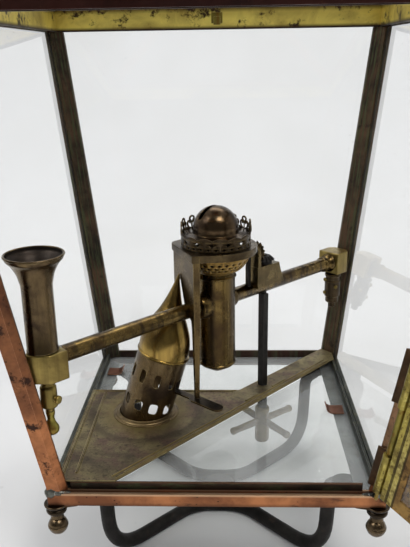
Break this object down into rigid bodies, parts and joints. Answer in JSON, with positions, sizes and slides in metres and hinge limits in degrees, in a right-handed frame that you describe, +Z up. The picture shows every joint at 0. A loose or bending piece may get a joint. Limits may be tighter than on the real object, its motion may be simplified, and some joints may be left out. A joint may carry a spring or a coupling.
{
  "type": "street lantern",
  "caption": "Four-sided glazed copper lantern that narrows to its base, with a hinged door, an oil burner inside and an iron bracket under it.",
  "frame": {"origin": "centre of the flat underside of the boss in the middle of the iron bracket, level with the lowest faces of the bars", "axes": "+Z up through the middle of the lantern, -Y towards the front with the door, +X towards the hinge side"},
  "size_m": [0.6154, 0.6266, 0.7039],
  "materials": {
    "copper": "aged satin copper",
    "dark_copper": "dark stained copper",
    "patina": "dark brown patina",
    "zinc": "dull grey zinc",
    "brass": "worn brass",
    "aged_brass": "aged brass",
    "dark_brass": "sooty brass",
    "plate_brass": "tarnished olive brass",
    "iron": "dark wrought iron",
    "cotton": "woven cotton",
    "glass": "clear glass"
  },
  "bodies": {
    "lantern": {"base_rail_front": "copper", "base_rail_right": "zinc", "base_rail_rear": "patina", "base_rail_left": "zinc", "post_front_left": "copper", "post_front_right": "copper", "post_rear_right": "patina", "post_rear_left": "patina", "pane_left": "glass", "pane_right": "glass", "pane_rear": "glass", "eaves_rim": "dark_copper", "roof_frame": "copper", "roof_pane_front": "glass", "roof_pane_right": "glass", "roof_pane_rear": "glass", "roof_pane_left": "glass", "ventilator": "copper", "ventilator_cap": "copper", "bracket_front": "iron", "bracket_rear": "iron", "bracket_boss": "iron", "corner_ball_front_left": "dark_brass", "corner_ball_front_right": "dark_brass", "corner_ball_rear_right": "dark_brass", "corner_ball_rear_left": "dark_brass", "base_plate": "plate_brass", "bottom_glass_front": "glass", "bottom_glass_rear": "glass", "glass_tab_left": "copper", "glass_tab_right": "copper", "guide_flange": "brass", "guide_sleeve": "dark_brass", "guide_hood": "brass", "left_tube": "aged_brass", "right_tube": "aged_brass", "burner_cup": "aged_brass", "burner_basket": "aged_brass", "wick_tube": "dark_brass", "gear_bracket": "aged_brass", "spindle_stay": "iron", "left_block": "brass", "right_block": "brass", "right_socket": "dark_brass", "filler_funnel": "aged_brass", "drain_valve": "aged_brass", "hinge_pin": "iron"},
    "door": {"door_frame": "brass", "door_glass": "glass"},
    "door_button": {"turn_button": "brass"},
    "lifter": {"lifter_frame": "aged_brass", "lift_bar": "dark_brass", "burner_crown": "dark_brass", "burner_dome": "aged_brass"},
    "drain_tap": {"drain_knob": "brass"},
    "wick_strip": {"wick": "cotton"},
    "feed_spindle": {"wick_spindle": "dark_brass"},
    "key_shaft": {"wick_shaft": "iron", "bevel_pinion": "dark_brass", "wick_key": "iron"}
  },
  "joints": [
    {"name": "door_hinge", "type": "hinge", "parent": "lantern", "child": "door", "pos_m": [0.128, -0.1417, 0.105], "axis": [0.1347, -0.1347, 0.9817], "range_deg": [-135, 12]},
    {"name": "button_turn", "type": "hinge", "parent": "lantern", "child": "door_button", "pos_m": [-0.06, -0.189, 0.473], "axis": [0, 1, 0], "range_deg": [0, 90]},
    {"name": "lifter_slide", "type": "slide", "parent": "lantern", "child": "lifter", "axis": [0, 0, 1], "range_m": [0, 0.011]},
    {"name": "drain_turn", "type": "hinge", "parent": "lantern", "child": "drain_tap", "pos_m": [-0.1296, -0.1296, 0.16], "axis": [0, 0, 1], "range_deg": [0, 180]},
    {"name": "key_turn", "type": "hinge", "parent": "lantern", "child": "key_shaft", "pos_m": [0.04632, 0.04207, 0.105], "axis": [0, 0, 1], "range_deg": [-100, 100]},
    {"name": "spindle_turn", "type": "hinge", "parent": "lantern", "child": "feed_spindle", "pos_m": [0.00212, -0.00212, 0.253], "axis": [0.7071, 0.7071, 0], "range_deg": [-102, 102]},
    {"name": "wick_slide", "type": "slide", "parent": "lantern", "child": "wick_strip", "axis": [0, 0, 1], "range_m": [-0.0062, 0.0062]}
  ],
  "couplings": [
    {"joint": "spindle_turn", "follows": "key_turn", "ratio": -1},
    {"joint": "wick_slide", "follows": "key_turn", "m_per_rad": -0.0034}
  ]
}
